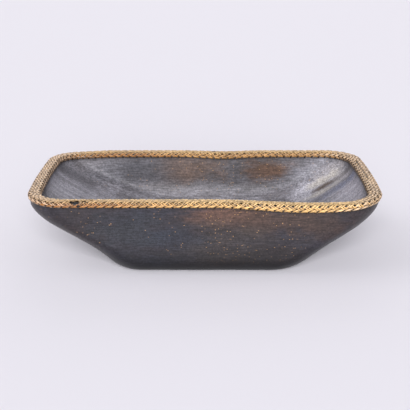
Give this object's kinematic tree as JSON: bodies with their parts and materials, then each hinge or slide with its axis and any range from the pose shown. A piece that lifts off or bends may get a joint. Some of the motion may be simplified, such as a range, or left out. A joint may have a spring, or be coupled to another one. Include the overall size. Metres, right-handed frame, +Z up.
{
  "type": "carved serving dish",
  "caption": "Long carved wooden dish with sloping ends and a flat foot, its rim bound in plaited cane that is laced through holes in the wall.",
  "frame": {"origin": "under the middle of the rim, on the plane that the dish stands on", "axes": "+X along the dish towards the end with the longer foot, +Y to the back, +Z up"},
  "size_m": [0.4341, 0.246, 0.0927],
  "materials": {
    "wood": "smoke-blackened hardwood, hand rubbed, satin",
    "cane": "split cane, natural straw gold, dry satin"
  },
  "bodies": {
    "root": {"bowl": "wood", "rim_plait_front": "cane", "rim_plait_right_end": "cane", "rim_plait_back": "cane", "rim_plait_back_left": "cane", "rim_plait_left_end": "cane"}
  },
  "joints": []
}
